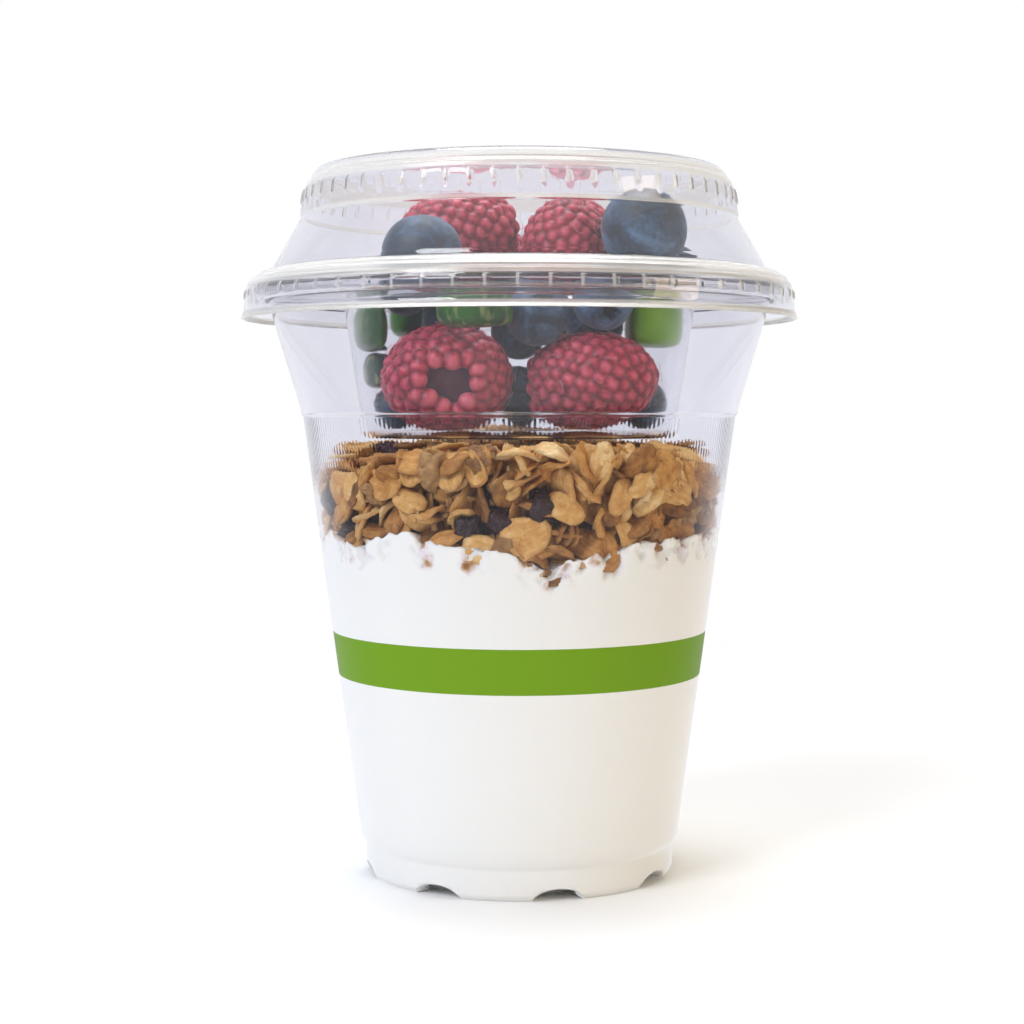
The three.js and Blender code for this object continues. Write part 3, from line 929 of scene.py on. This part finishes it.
def granolaCore():
    # the imported inside that the flakes lie on, lumpy where it shows between them, with the
    # darkest tone as painted shade in those gaps
    behind = granola["behindWall"]
    bottom = yogurt["top"] - 1
    core = spun("granola_core", [
        (0, bottom),
        (innerWall(61) - behind - 0.5, bottom),
        (innerWall(64) - behind, 63),
        (innerWall(70) - behind, 69),
        (innerWall(73) - behind - 0.6, 72.6),
        (27.5, 74.6),
        (24, 75.6),
        (12, 75.8),
        (0, 75.8),
    ], 120)
    applied(core, "SUBSURF", levels=2, render_levels=2, subdivision_type="SIMPLE")
    for vertex in core.data.vertices:
        radius, angle, z = polar(vertex.co)
        lumpy = noise.noise(vertex.co / mm * 0.32) + 0.5 * noise.noise(vertex.co / mm * 0.9)
        if z > 65:
            vertex.co.z += (heapTop(angle, radius) - granola["top"]) * 0.5 * mm * (z - 60) / 13
        vertex.co += Vector((vertex.co.x, vertex.co.y, 0.01)).normalized() * lumpy * 0.7 * mm
    # the darkest tone: painted shade for the granola deep in the gaps between flakes
    layOn(core, "tone", [0.12] * len(core.data.vertices))
    return core


def buildGranola():
    dice = random.Random(granola["seed"])
    packing = Packing()
    flakes = [modelFlake(i) for i in range(oatFlake["models"])]
    clusters = [modelLump(20 + i, granola["clusterSize"], 0.6, 0.5) for i in range(4)]
    berries = [modelLump(30 + i, granola["driedSize"], 0.5, 0.35) for i in range(3)]
    crumbs = [modelLump(40 + i, granola["crumbSize"], 1.0, 0.6, 1) for i in range(5)]

    dried = packWall(packing, dice, berries, granola["driedTries"], granola["lumpDepth"],
                     lambda d: d.choice(granola["driedTones"]))
    lumps = packWall(packing, dice, clusters, granola["clusterTries"], granola["lumpDepth"],
                     lambda d: d.uniform(0.3, 0.9))
    oats = packWall(packing, dice, flakes, granola["wallTries"], granola["behindWall"], oatTone,
                    granola["stacks"])
    dried += packTop(packing, dice, berries, granola["driedOnTop"],
                     lambda d: d.uniform(0.0, 0.4))
    oats += packTop(packing, dice, flakes, granola["topTries"], oatTone)
    bits = scatterCrumbs(dice, crumbs)

    cluster = syrupCluster()
    finish(granolaCore(), "granola_core", "granola", cluster, "granola")
    gather("granola_oats", oats, "granola", toastedOat(), "granola")
    gather("granola_clusters", lumps, "granola", cluster, "granola")
    gather("granola_fruit", dried, "granola", driedFruit(), "granola")
    gather("granola_crumbs", bits, "granola", cluster, "granola")
    print("granola:", len(oats), "flakes", len(lumps), "clusters", len(dried), "fruit")


buildGranola()


# how the solids of the fruit are turned, in degrees about X, Y and Z
turns = {
    "raspberry": [(-82, 0, 6), (0, 84, -6), (70, 10, 30), (-65, 0, 150), (0, -96, 8), (25, 0, 0),
                  (-20, 40, 0), (-70, 0, 20)],
    "blueberry": [(30, 20, 0), (80, 0, 40), (70, 0, -60), (-60, 0, 0), (60, 20, 0), (120, 0, 10),
                  (0, 40, 0), (20, 40, 0), (10, -50, 0), (50, -70, 0), (0, 0, 0), (-30, 50, 0),
                  (-50, -20, 0), (-70, 30, 0), (-30, 20, 0), (30, -160, 0)],
    "kiwi": [(0, 3, 0), (0, 2, 186), (0, 0, 181), (0, 0, -106), (0, 5, 72), (0, 5, 136)],
}


def ownAxes(kind, index):
    # a CAD fruit's node, its size and middle along its own turned axes, and their rotation
    node = f"{kind}_{index + 1}"
    rotation = Euler([radians(a) for a in turns[kind][index]]).to_matrix()
    points = [rotation.transposed() @ v.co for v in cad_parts[node].data.vertices]
    low = Vector([min(p[i] for p in points) for i in range(3)])
    high = Vector([max(p[i] for p in points) for i in range(3)])
    return node, (high - low) / mm, rotation @ ((low + high) / 2), rotation


def putBack(piece, middle, rotation):
    # moves a fruit that was made at the origin to where its solid lies
    piece.data.transform(Matrix.Translation(middle) @ rotation.to_4x4())


raspberry = {
    "spacing": 2.75,
    "round": 0.62,
    "inset": 1.5,
    "voxel": 0.3,
    "softened": 3,
    "openAngle": -60.0,
    "creaseWidth": 1.1,
    "hairs": 46,
    "hairModels": 8,
    "hairThickness": 0.055,
}


def drupeletFlesh():
    # raspberry: soft translucent beads under a fine down, with painted shade in the creases
    # between beads and lighter bead crowns
    material = newMaterial(
        "drupeletFlesh", Roughness=0.45, Subsurface_Weight=0.3, Subsurface_Scale=1.0 * mm,
        Subsurface_Radius=(1.0, 0.25, 0.2), Sheen_Weight=0.3, Sheen_Roughness=0.5,
        Sheen_Tint=linear("f2b9c4"), Specular_IOR_Level=0.45)
    place = placeOn(material)
    cloud = mottle(material, place, 1 / (3.0 * mm), 4.0)
    clouded = reckon(material, "MULTIPLY_ADD", cloud, 0.9, laid(material, "bulge"))
    # painted shade: darker red in the creases between beads, lighter on their crowns
    base = colourSteps(
        material, reckon(material, "SUBTRACT", clouded, 0.45), (0.0, "760f26"),
        (0.35, "a62039"), (0.7, "c43a52"), (1.0, "d65e70"))
    # painted shade: the inside of the hollow dulled to a darker grey-pink
    feed(material, "Base Color", mixed(material, laid(material, "hollow"), base, "7d3f54"))
    relief(material, mottle(material, place, 1 / (0.35 * mm), 2.0), 0.3, 0.1)
    return material


def upTheSide(count):
    # even angles up a raspberry's side, from its opening to its tip
    openAngle = radians(raspberry["openAngle"])
    return [openAngle + (pi / 2 - openAngle) * i / count for i in range(count + 1)]


def berryProfile(turn, size, inset=0.0):
    # radius and height of a raspberry's skin at an angle up its side
    sunk = sin(radians(raspberry["openAngle"]))
    along = (sin(turn) - sunk) / (1 - sunk)
    radius = size.x / 2 * max(0.0, cos(turn)) ** 0.85 - inset
    return max(0.0, radius), (size.z - 2 * inset) * (along - 0.5)


def drupeletPlaces(size, dice):
    # beads in the spiral that a raspberry grows in, evenly over its skin
    angles = upTheSide(200)
    skin = [berryProfile(t, size) for t in angles]
    areas = [0.0]
    for (r1, z1), (r2, z2) in zip(skin, skin[1:]):
        areas.append(areas[-1] + pi * (r1 + r2) * hypot(r2 - r1, z2 - z1))
    spacing = raspberry["spacing"] * (size.x / 20) ** 0.3
    count = round(areas[-1] / (0.82 * spacing ** 2))
    places = []
    for i in range(count):
        turn = float(np.interp(areas[-1] * (i + 0.35) / count, areas, angles))
        bead = raspberry["round"] * spacing * dice.uniform(0.93, 1.08)
        radius, z = berryProfile(turn, size, bead)
        angle = i * pi * (3 - sqrt(5)) + dice.uniform(-0.05, 0.05)
        places.append((Vector((radius * cos(angle),
                               radius * sin(angle) * size.y / size.x, z)), bead))
    return places


def buildRaspberry(index, flesh, bead, hairs, hair):
    node, size, middle, rotation = ownAxes("raspberry", index)
    dice = random.Random(100 + index)
    flat = size.y / size.x
    wide = size.x / 2

    # the cup of flesh that the beads sit on, hollow below
    outline = [(0, size.z * 0.12), (wide * 0.26, size.z * 0.02), (wide * 0.34, -size.z * 0.25),
               (wide * 0.42, -size.z * 0.44)]
    outline += [berryProfile(turn, size, raspberry["inset"]) for turn in upTheSide(10)]
    body = spun("berryBody", outline, 32)
    for vertex in body.data.vertices:
        vertex.co.y *= flat
    places = drupeletPlaces(size, dice)
    beads = meshOf("beads", [(bead, bead["points"] * r + np.array(spot) * mm)
                             for spot, r in places])
    pick(body)
    beads.select_set(True)
    bpy.ops.object.join()
    oneSkin(body, raspberry["voxel"], raspberry["softened"])
    bpy.ops.object.shade_smooth()

    tree = KDTree(len(places))
    for i, (spot, r) in enumerate(places):
        tree.insert(spot, i)
    tree.balance()
    # closeness to the crease between beads, which the flesh darkens as painted shade
    creaseShading, hollows = [], []
    for vertex in body.data.vertices:
        spot = vertex.co / mm
        nearest, second = tree.find_n(spot, 2)
        near = nearest[2]
        creaseShading.append(min(1.0, max(0.0, (second[2] - near) / raspberry["creaseWidth"])))
        inside = hypot(spot.x, spot.y / flat) < wide * 0.45 and spot.z < size.z * 0.14
        hollows.append(1.0 if inside and near > places[nearest[1]][1] * 1.04 else 0.0)
    layOn(body, "bulge", creaseShading)
    layOn(body, "hollow", hollows)

    # the dried styles: fine pale hairs that curl over the beads
    for i in range(raspberry["hairs"]):
        spot, r = dice.choice(places)
        away = Vector((spot.x, spot.y / flat, spot.z * 0.6)).normalized()
        spot = spot + away * (r + 0.12)
        turned = np.array(rotation) @ turnTo(away, dice.uniform(0, 2 * pi))
        hairs.append((hair[i % len(hair)], turned, tuple(middle / mm + rotation @ spot), 0.5))
    putBack(body, middle, rotation)
    return finish(body, f"berry_red_{index + 1}", "raspberry", flesh, node)


def modelHair(seed):
    # one hair as a thin three-sided tube that curls over a bead
    dice = random.Random(seed)
    curl = dice.uniform(0.9, 1.7)
    sweep = dice.uniform(1.6, 4.2)
    steps = 9
    points, faces = [], []
    for i in range(steps + 1):
        t = i / steps
        turn = sweep * (t - 0.5)
        middle = Vector((curl * sin(turn), curl * (1 - cos(turn)) - curl * 0.4,
                         0.1 - 0.5 * (2 * t - 1) ** 2))
        shrink = raspberry["hairThickness"] * (1.05 - abs(2 * t - 1) ** 3)
        for corner in range(3):
            around = corner * 2 * pi / 3
            side = Vector((sin(turn), -cos(turn), 0)) * cos(around)
            points.append((middle + (side + Vector((0, 0, sin(around)))) * shrink) * mm)
        if i:
            for corner in range(3):
                a, b = 3 * (i - 1) + corner, 3 * (i - 1) + (corner + 1) % 3
                faces.append((a, b, b + 3, a + 3))
    faces.append((2, 1, 0))
    faces.append((3 * steps, 3 * steps + 1, 3 * steps + 2))
    return {"points": np.array(points), "faces": faces, "rims": np.ones(len(points))}


def buildRaspberries():
    bead = modelLump(3, (2, 2, 2), 0.05, 0.0, 2)
    flesh = drupeletFlesh()
    # dry plant hair, pale pink against the flesh; thicker than life so that it shows
    style = newMaterial("driedStyle", Base_Color=linear("d98a92"), Roughness=0.6)
    hair = [modelHair(i) for i in range(raspberry["hairModels"])]
    hairs = []
    count = len(turns["raspberry"])
    made = [buildRaspberry(i, flesh, bead, hairs, hair) for i in range(count)]
    gather("berry_red_hairs", hairs, "raspberry", style,
           *[f"raspberry_{i + 1}" for i in range(count)])
    print("raspberries:", sum(len(piece.data.polygons) for piece in made), "faces")


buildRaspberries()


blueberry = {
    "segments": 40,
    "rings": 44,
    "crownRadius": 0.31,
    "collarWidth": 0.05,
    "collarRise": 0.085,
    "crownDepth": 0.2,
    "skin": 0.99,
}


def waxBloom():
    # blueberry: near black skin under grey-blue wax, rubbed away in patches
    material = newMaterial(
        "waxBloom", Roughness=0.5, Sheen_Weight=0.4, Sheen_Roughness=0.6,
        Sheen_Tint=linear("b9c6d6"), Specular_IOR_Level=0.4)
    place = placeOn(material)
    patches = mottle(material, place, 1 / (6 * mm), 5.0, 0.62, 0.8)
    dust = mottle(material, place, 1 / (0.6 * mm), 3.0)
    dusty = reckon(material, "MULTIPLY_ADD", dust, 0.25, patches)
    base = colourSteps(material, dusty, (0.42, "0e141f"), (0.55, "1a2839"), (0.68, "304a66"),
                       (0.85, "587899"))
    feed(material, "Base Color", mixed(material, laid(material, "crown"), base, "15141a"))
    relief(material, dusty, 0.2, 0.15)
    return material


def buildBlueberry(index, wax):
    # a ball with its rings drawn together at the top, for the five-pointed crown
    node, size, middle, rotation = ownAxes("blueberry", index)
    bpy.ops.mesh.primitive_uv_sphere_add(segments=blueberry["segments"],
                                         ring_count=blueberry["rings"], radius=1)
    berry = bpy.context.object
    half = size / 2
    skin = blueberry["skin"]
    sunk = []
    for vertex in berry.data.vertices:
        x, y, z = vertex.co
        angle = atan2(y, x)
        polarAngle = pi * (acos(max(-1.0, min(1.0, z))) / pi) ** 1.4
        out = sin(polarAngle)
        up = cos(polarAngle)
        points = 1 + 0.2 * cos(5 * angle + 0.3 * sin(2 * angle))
        star = blueberry["crownRadius"] * points
        collar = exp(-((out - star) / blueberry["collarWidth"]) ** 2) if up > 0 else 0.0
        hollow = max(0.0, min(1.0, (star - 0.03 - out) / 0.07)) if up > 0 else 0.0
        lumpy = 1 + 0.025 * noise.noise(Vector((x, y, z)) * 1.3 + Vector((index, 0, 0)))
        height = up + blueberry["collarRise"] * collar - blueberry["crownDepth"] * hollow
        height = height * lumpy - 0.02
        vertex.co = (out * cos(angle) * half.x * skin * lumpy * mm,
                     out * sin(angle) * half.y * skin * lumpy * mm,
                     max(-skin, min(skin, height)) * half.z * mm)
        sunk.append(min(1.0, hollow + 0.5 * collar))
    layOn(berry, "crown", sunk)
    bpy.ops.object.shade_smooth()
    putBack(berry, middle, rotation)
    return finish(berry, f"berry_blue_{index + 1}", "blueberry", wax, node)


wax = waxBloom()
blueberries = [buildBlueberry(i, wax) for i in range(len(turns["blueberry"]))]
print("blueberries:", len(blueberries))


kiwi = {
    "voxel": 0.5,
    "softened": 150,
    "grown": 0.3,
    "seed": 7,
    "pipSize": (2.0, 1.2, 0.8),
    "pipsOnFace": 9,
    "pipRing": (0.3, 0.48),
    "pipSunk": 0.35,
    # tone of each slice: the low ones get painted shade in kiwiFlesh, the highest a paler
    # yellow-green
    "tones": (1.0, 0.36, 0.15, 0.3, 0.6, 0.5),
}


def kiwiFlesh():
    # kiwi, peeled and cut: wet green flesh, pale rays from a cream core; slices of low tone
    # darkened towards deep teal as painted shade
    material = newMaterial(
        "kiwiFlesh", Roughness=0.35, Subsurface_Weight=0.2, Subsurface_Scale=1.2 * mm,
        Subsurface_Radius=(0.6, 1.0, 0.3), Specular_IOR_Level=0.3)
    onSlice = addNode(material, "ShaderNodeUVMap", uv_map="slice").outputs["UV"]
    place = placeOn(material)
    tone = laid(material, "tone")
    out = addNode(material, "ShaderNodeVectorMath", {0: onSlice},
                  operation="LENGTH").outputs["Value"]
    parts = addNode(material, "ShaderNodeSeparateXYZ", {"Vector": onSlice})
    around = reckon(material, "ARCTAN2", parts.outputs["Y"], parts.outputs["X"])
    ring = addNode(material, "ShaderNodeCombineXYZ", {"X": around, "Y": out})
    outwards = stretched(material, ring.outputs["Vector"], (1, 0.12, 1))
    rays = mottle(material, outwards, 14.0, 2.0)
    base = colourSteps(
        material, reckon(material, "MULTIPLY_ADD", rays, 0.22, out), (0.16, "cdd28a"),
        (0.33, "83a432"), (0.46, "306c08"), (0.8, "256106"), (1.0, "4f900a"))
    # painted shade: slices of low tone are darkened towards deep teal, in clouds, where they sit
    # in shade
    cloud = mottle(material, place, 1 / (4 * mm), 3.0)
    paintedShadeLevel = reckon(material, "MULTIPLY_ADD", cloud, 0.9, tone)
    withPaintedShade = mixed(material, ranged(material, paintedShadeLevel, 0.6, 1.3, 1.0, 0.0), base, "02321f")
    yellowedByTone = mixed(material, ranged(material, tone, 0.6, 1.0, 0.0, 0.6), withPaintedShade, "86b02a")
    # pale fibres show where a slice was torn, which the least ripe one was
    upright = stretched(material, place, (1, 1, 0.3))
    fibres = mottle(material, upright, 1 / (1.5 * mm), 3.0)
    torn = ranged(material, tone, 0.15, 0.4, 1.0, 0.0)
    pale = ranged(material, fibres, 0.5, 0.64, 0.0, torn)
    feed(material, "Base Color", mixed(material, pale, yellowedByTone, "b9bb7c"))
    relief(material, rays, 0.3, 0.3)
    return material


def buildKiwi(index, flesh, pips, pip, dice):
    node, size, middle, rotation = ownAxes("kiwi", index)
    bpy.ops.mesh.primitive_cylinder_add(vertices=72, radius=1, depth=1)
    piece = bpy.context.object
    editAll(piece)
    bpy.ops.mesh.bisect(plane_co=(0, 0, 0), plane_no=(1, 0, 0), clear_inner=True, use_fill=True)
    bpy.ops.object.mode_set(mode="OBJECT")
    for vertex in piece.data.vertices:
        x, y, z = vertex.co
        vertex.co = ((x * size.x - size.x / 2) * mm, y * size.y / 2 * mm, z * size.z * mm)
    oneSkin(piece, kiwi["voxel"], kiwi["softened"])
    # back to its full size after the smoothing, a little past the solid's
    shrunk = [max(abs(v.co[i]) for v in piece.data.vertices) for i in range(3)]
    for vertex in piece.data.vertices:
        wave = 0.99 + 0.02 * noise.noise(vertex.co / mm * 0.25 + Vector((index * 9, 0, 0)))
        vertex.co = Vector([a * (b / 2 + kiwi["grown"]) * mm / c * wave
                            for a, b, c in zip(vertex.co, size, shrunk)])
    layOn(piece, "tone", [kiwi["tones"][index]] * len(piece.data.vertices))
    layer = piece.data.uv_layers.new(name="slice")
    for loop in piece.data.loops:
        spot = piece.data.vertices[loop.vertex_index].co / mm
        layer.data[loop.index].uv = ((spot.x + size.x / 2) / size.x, spot.y / (size.y / 2))
    bpy.ops.object.shade_smooth()
    putBack(piece, middle, rotation)
    # pips round the core, half sunk in both cut faces
    place = Matrix.Translation(middle) @ rotation.to_4x4()
    count = kiwi["pipsOnFace"]
    for side in (1, -1):
        for i in range(count):
            angle = -pi / 2 + pi * (i + dice.uniform(0.2, 0.8)) / count
            reach = dice.uniform(*kiwi["pipRing"])
            spot = Vector((reach * cos(angle) * size.x - size.x / 2,
                           reach * sin(angle) * size.y / 2,
                           side * (size.z / 2 - kiwi["pipSunk"])))
            along = rotation @ Matrix.Rotation(angle, 3, "Z")
            pips.append((pip, np.array(along), tuple(place @ (spot * mm) / mm), 0.5))
    return finish(piece, f"green_slice_{index + 1}", "kiwi", flesh, node)


def buildKiwis():
    dice = random.Random(kiwi["seed"])
    pip = modelLump(1, kiwi["pipSize"], 0.05, 0.0, 2)
    pips = []
    flesh = kiwiFlesh()
    count = len(turns["kiwi"])
    for i in range(count):
        buildKiwi(i, flesh, pips, pip, dice)
    # kiwi pips: hard, black brown and glossy
    shell = newMaterial("kiwiPip", Base_Color=linear("1d1712"), Roughness=0.25)
    gather("green_slice_pips", pips, "kiwi", shell, *[f"kiwi_{i + 1}" for i in range(count)])
    print("kiwi slices:", count, "with", len(pips), "pips")


buildKiwis()


# places of the soft boxes and the size of the floor are in metres
studio = {
    "cameraDistance": 356.0,
    "cameraHeight": 82.9,
    "lens": 68.2,
    "shiftX": -0.0071,
    "shiftY": -0.0967,
    "backdrop": "ffffff",
    "throughPlastic": "f6f7fd",
    "behindCamera": "54565f",
    "fillLeft": "c4cfe4",
    "fillRight": "ada082",
    "floorRadius": 0.42,
    "lookAt": (0, 0, 0.07),
    "keyBox": {"place": (-0.55, -0.65, 0.75), "size": (0.4, 0.4), "watts": 4.7,
               "colour": "f8f9fd"},
    "warmBox": {"place": (0.75, -0.35, 0.25), "size": (0.3, 0.4), "watts": 1.2,
                "colour": "ffe4c0"},
    "topBox": {"place": (0.0, 0.15, 0.9), "size": (0.5, 0.5), "watts": 4.4,
               "colour": "fcfcfb"},
}


def softBox(name):
    box = studio[name]
    light = bpy.data.lights.new(name, "AREA")
    light.shape = "RECTANGLE"
    light.size, light.size_y = box["size"]
    light.energy = box["watts"]
    light.color = linear(box["colour"])[:3]
    lamp = bpy.data.objects.new(name, light)
    bpy.context.scene.collection.objects.link(lamp)
    lamp.location = box["place"]
    way = Vector(studio["lookAt"]) - lamp.location
    lamp.rotation_euler = way.to_track_quat("-Z", "Y").to_euler()


def setCamera(scene):
    camera = bpy.data.objects.new("camera", bpy.data.cameras.new("camera"))
    scene.collection.objects.link(camera)
    camera.location = (0, -studio["cameraDistance"] * mm, studio["cameraHeight"] * mm)
    camera.rotation_euler = (pi / 2, 0, 0)
    camera.data.lens = studio["lens"]
    camera.data.sensor_width = 36
    camera.data.shift_x = studio["shiftX"]
    camera.data.shift_y = studio["shiftY"]
    camera.data.clip_start = 0.01
    scene.camera = camera


def whiteRoom(scene):
    # bright only behind the cup, and dim at the sides and behind the camera, so that the
    # plastic's front stays clear of glare; cool fill from the left and warm from the right
    world = bpy.data.worlds.new("whiteRoom")
    world.use_nodes = True
    scene.world = world
    ray = addNode(world, "ShaderNodeLightPath")
    facing = addNode(world, "ShaderNodeTexCoord").outputs["Generated"]
    way = addNode(world, "ShaderNodeSeparateXYZ", {"Vector": facing})
    ahead = ranged(world, way.outputs["Y"], 0.1, 0.95, steps="SMOOTHSTEP")
    seen = mixed(world, ahead, studio["behindCamera"], studio["throughPlastic"])
    toRight = ranged(world, way.outputs["X"], -0.8, 0.8)
    fill = mixed(world, toRight, studio["fillLeft"], studio["fillRight"])
    lit = mixed(world, ray.outputs["Is Diffuse Ray"], seen, fill)
    shade = mixed(world, ray.outputs["Is Camera Ray"], lit, studio["backdrop"])
    sky = world.node_tree.nodes["Background"]
    world.node_tree.links.new(shade, sky.inputs["Color"])


def layFloor():
    # pale card under the cup, which fades into the white room
    bpy.ops.mesh.primitive_circle_add(vertices=96, radius=studio["floorRadius"],
                                      fill_type="TRIFAN")
    floor = bpy.context.object
    floor.name = "floor"
    card = newMaterial("matteCard", Base_Color=linear("fafafa"), Roughness=0.9,
                       Specular_IOR_Level=0.1)
    away = addNode(card, "ShaderNodeVectorMath", {0: placeOn(card)}, operation="LENGTH")
    feed(card, "Alpha", ranged(card, away.outputs["Value"], 0.1, studio["floorRadius"] * 0.9,
                               1.0, 0.0, "SMOOTHSTEP"))
    floor.data.materials.append(card)
    floor.visible_glossy = False


def buildStudio():
    scene = bpy.context.scene
    scene.view_settings.view_transform = "Standard"
    scene.cycles.use_denoising = True
    scene.cycles.max_bounces = 24
    scene.cycles.transmission_bounces = 24
    scene.cycles.transparent_max_bounces = 24
    scene.cycles.glossy_bounces = 6
    scene.cycles.diffuse_bounces = 4
    setCamera(scene)
    whiteRoom(scene)
    layFloor()
    for name in ("keyBox", "warmBox", "topBox"):
        softBox(name)


buildStudio()
print("studio set")
